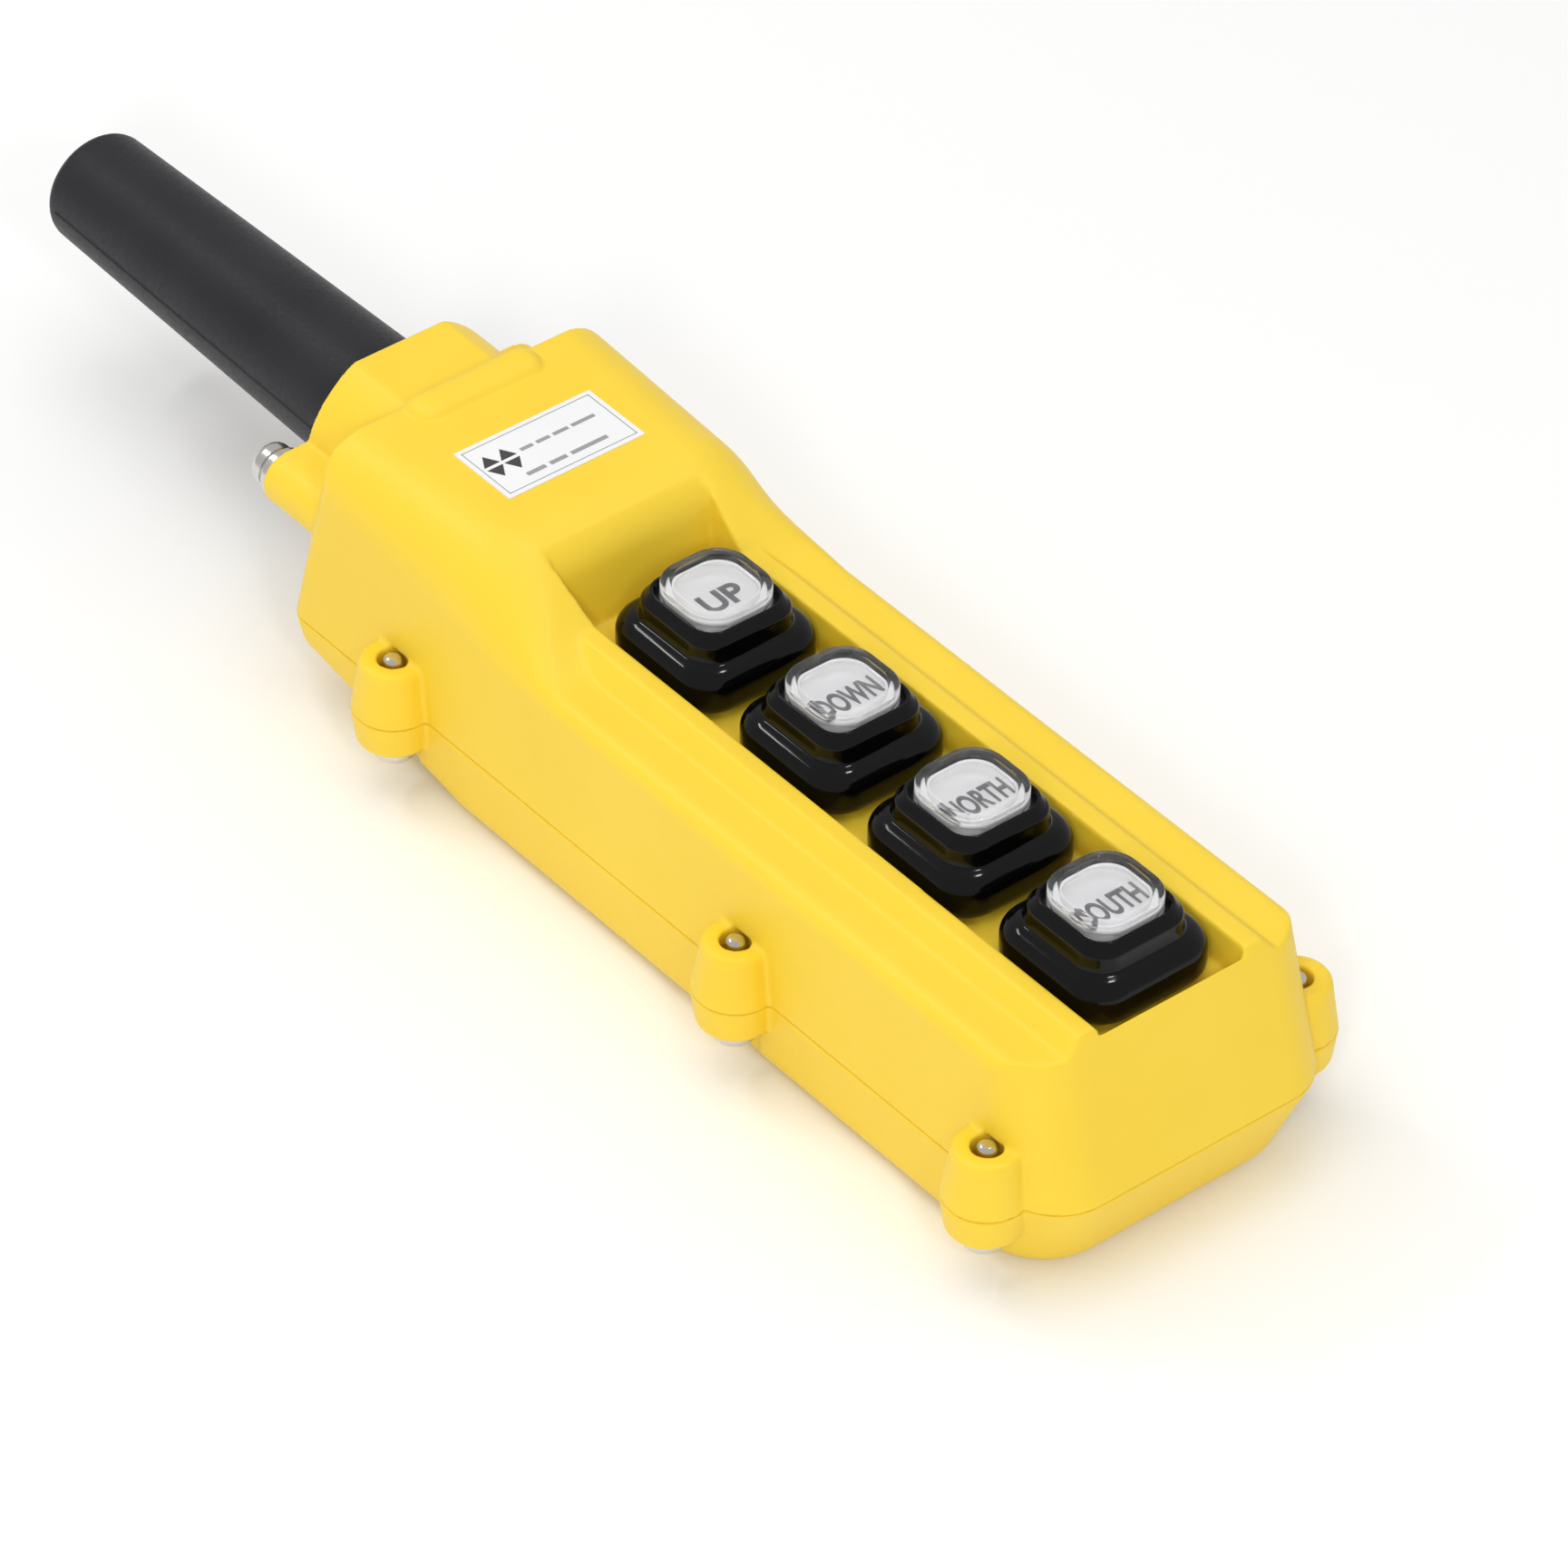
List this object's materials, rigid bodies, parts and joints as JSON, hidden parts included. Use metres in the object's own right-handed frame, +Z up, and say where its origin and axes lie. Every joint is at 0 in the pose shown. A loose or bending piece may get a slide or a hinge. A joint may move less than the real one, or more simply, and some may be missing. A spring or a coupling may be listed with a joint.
{
  "type": "pendant control station",
  "caption": "Hand-held pendant push-button station with a two-piece plastic housing, booted buttons in a recess and a rubber cable sleeve",
  "frame": {"origin": "middle of the footprint on the surface the station lies on, back cover down", "axes": "+X across the body, +Y along the body towards the cable sleeve, +Z up out of the push buttons"},
  "size_m": [0.0856, 0.32, 0.0638],
  "materials": {
    "yellow_plastic": "fine-textured moulded plastic, satin",
    "sleeve_rubber": "moulded black rubber, satin",
    "boot_rubber": "glossy moulded black rubber",
    "gasket_rubber": "soft black rubber cord",
    "clear_lens": "clear moulded acrylic",
    "legend_white": "white printed disc with grey lettering",
    "label_film": "white printed film with thin grey lines",
    "stem_plastic": "white moulded nylon",
    "block_plastic": "dark moulded phenolic",
    "fibre_sheet": "grey pressed fibre",
    "screw_steel": "bright zinc plate",
    "spring_steel": "drawn spring wire",
    "brass": "plain brass"
  },
  "bodies": {
    "housing": {"front_cover": "yellow_plastic", "rear_cover": "yellow_plastic", "housing_gasket": "gasket_rubber", "housing_screws": "screw_steel", "thread_inserts": "brass", "cable_sleeve": "sleeve_rubber", "sleeve_ring": "screw_steel", "lug_screw": "screw_steel", "lug_washers": "screw_steel", "lug_nut": "screw_steel", "cable_clamp_seat": "block_plastic", "cable_clamp_saddle": "block_plastic", "clamp_screws": "screw_steel", "label_plate": "label_film", "insulating_sheet": "fibre_sheet", "block_screws": "screw_steel", "boot_up": "boot_rubber", "return_spring_up": "spring_steel", "fixed_contacts_up": "brass", "terminal_screws_up": "screw_steel", "switch_block_up": "block_plastic", "boot_frame_up": "screw_steel", "boot_down": "boot_rubber", "return_spring_down": "spring_steel", "fixed_contacts_down": "brass", "terminal_screws_down": "screw_steel", "switch_block_down": "block_plastic", "boot_frame_down": "screw_steel", "boot_north": "boot_rubber", "return_spring_north": "spring_steel", "fixed_contacts_north": "brass", "terminal_screws_north": "screw_steel", "switch_block_north": "block_plastic", "boot_frame_north": "screw_steel", "boot_south": "boot_rubber", "return_spring_south": "spring_steel", "fixed_contacts_south": "brass", "terminal_screws_south": "screw_steel", "switch_block_south": "block_plastic", "boot_frame_south": "screw_steel"},
    "button_up": {"lens_up": "clear_lens", "legend_up": "legend_white", "plunger_up": "stem_plastic", "moving_contact_up": "brass"},
    "button_down": {"lens_down": "clear_lens", "legend_down": "legend_white", "plunger_down": "stem_plastic", "moving_contact_down": "brass"},
    "button_north": {"lens_north": "clear_lens", "legend_north": "legend_white", "plunger_north": "stem_plastic", "moving_contact_north": "brass"},
    "button_south": {"lens_south": "clear_lens", "legend_south": "legend_white", "plunger_south": "stem_plastic", "moving_contact_south": "brass"}
  },
  "joints": [
    {"name": "press_up", "type": "slide", "parent": "housing", "child": "button_up", "axis": [0, 0, -1], "range_m": [0, 0.004], "stiffness_N_per_m": 900, "springref_m": -0.003, "deforming": ["boot_up", "return_spring_up"]},
    {"name": "press_down", "type": "slide", "parent": "housing", "child": "button_down", "axis": [0, 0, -1], "range_m": [0, 0.004], "stiffness_N_per_m": 900, "springref_m": -0.003, "deforming": ["boot_down", "return_spring_down"]},
    {"name": "press_north", "type": "slide", "parent": "housing", "child": "button_north", "axis": [0, 0, -1], "range_m": [0, 0.004], "stiffness_N_per_m": 900, "springref_m": -0.003, "deforming": ["boot_north", "return_spring_north"]},
    {"name": "press_south", "type": "slide", "parent": "housing", "child": "button_south", "axis": [0, 0, -1], "range_m": [0, 0.004], "stiffness_N_per_m": 900, "springref_m": -0.003, "deforming": ["boot_south", "return_spring_south"]}
  ]
}
